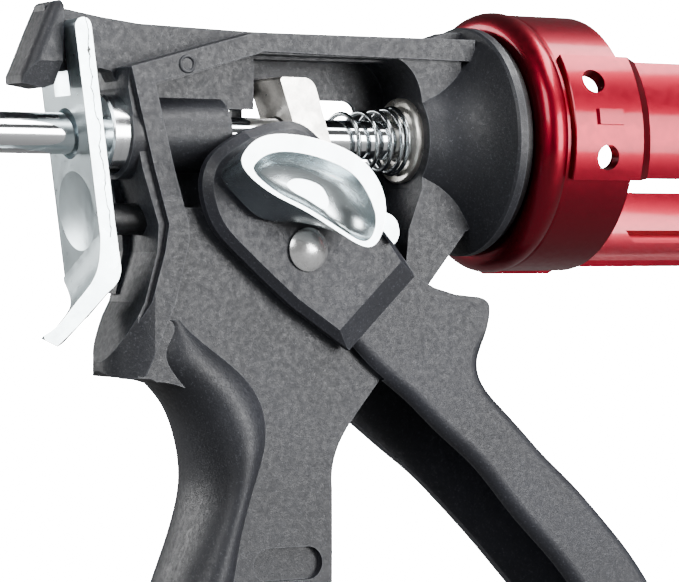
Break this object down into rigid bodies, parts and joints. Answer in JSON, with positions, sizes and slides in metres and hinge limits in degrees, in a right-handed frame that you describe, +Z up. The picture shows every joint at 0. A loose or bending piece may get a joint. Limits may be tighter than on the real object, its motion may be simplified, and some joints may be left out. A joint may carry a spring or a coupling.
{
  "type": "caulking gun",
  "caption": "Trigger caulking gun: moulded pistol-grip frame, push rod with piston, gripping plates, thumb lever and a swivelling open cradle for a tube cartridge",
  "frame": {"origin": "on the push rod's axis, at the front face of the frame's flange, where the cradle swivels", "axes": "+X forward along the push rod towards the nozzle, +Z up, +Y to the tool's left; the grip hangs towards -Z"},
  "size_m": [0.559, 0.0565, 0.1507],
  "materials": {
    "black_nylon": "fine-grained matt black, glass-filled",
    "trigger_nylon": "fine-grained matt black, slightly worn",
    "washer_black": "smooth black",
    "red_paint": "deep metallic red, glossy",
    "zinc_plate": "bright zinc plate, faintly blotched",
    "lever_zinc": "bright zinc plate with a grained rim",
    "rod_steel": "polished round steel",
    "bush_steel": "turned and plated steel",
    "drive_steel": "warm white sintered steel",
    "spring_steel": "drawn spring wire",
    "seat_steel": "warm grey washer steel",
    "rivet_steel": "bright domed rivet",
    "piston_steel": "zinc-plated pressing",
    "screw_steel": "plated screws"
  },
  "bodies": {
    "frame": {"body_frame": "black_nylon", "rear_bush": "bush_steel", "front_bush": "bush_steel", "spring_seat": "seat_steel", "trigger_pin": "rivet_steel", "swivel_washer": "washer_black", "swivel_keeper": "piston_steel", "swivel_screws": "screw_steel", "plunger_spring": "spring_steel", "return_spring": "spring_steel"},
    "release": {"release_plate": "zinc_plate"},
    "plunger": {"release_plunger": "washer_black"},
    "rod": {"push_rod": "rod_steel", "piston_disc": "piston_steel", "piston_washer": "screw_steel", "piston_nut": "screw_steel"},
    "drive": {"drive_plate": "drive_steel"},
    "trigger": {"trigger": "trigger_nylon", "drive_pin": "rivet_steel"},
    "lever": {"thumb_lever": "lever_zinc", "lever_plate": "zinc_plate"},
    "cradle": {"rear_cup": "red_paint", "side_rail": "red_paint", "lower_rail": "red_paint", "front_cap": "red_paint", "cap_rivets": "rivet_steel"}
  },
  "joints": [
    {"name": "trigger_pivot", "type": "hinge", "parent": "frame", "child": "trigger", "pos_m": [-0.0452, 0, -0.0223], "axis": [0, 1, 0], "range_deg": [0, 28], "stiffness_Nm_per_rad": 0.6, "springref_deg": -14.32},
    {"name": "drive_slide", "type": "slide", "parent": "frame", "child": "drive", "axis": [1, 0, 0], "range_m": [0, 0.00662], "deforming": ["return_spring"]},
    {"name": "rod_slide", "type": "slide", "parent": "frame", "child": "rod", "axis": [1, 0, 0], "range_m": [0, 0.2]},
    {"name": "release_tilt", "type": "hinge", "parent": "frame", "child": "release", "pos_m": [-0.092, 0, 0.0201], "axis": [0, -1, 0], "range_deg": [0, 2.8], "stiffness_Nm_per_rad": 0.5, "springref_deg": -11.46},
    {"name": "plunger_slide", "type": "slide", "parent": "frame", "child": "plunger", "axis": [1, 0, 0], "range_m": [0, 0.00196], "deforming": ["plunger_spring"]},
    {"name": "lever_turn", "type": "hinge", "parent": "trigger", "child": "lever", "pos_m": [-0.0442, 0, -0.008], "axis": [0, -1, 0], "range_deg": [0, 15]},
    {"name": "cradle_swivel", "type": "hinge", "parent": "frame", "child": "cradle", "pos_m": [0.003, 0, 0], "axis": [1, 0, 0], "continuous": true}
  ],
  "couplings": [
    {"joint": "drive_slide", "follows": "trigger_pivot", "m_per_rad": 0.0135},
    {"joint": "plunger_slide", "follows": "release_tilt", "m_per_rad": 0.0398}
  ]
}
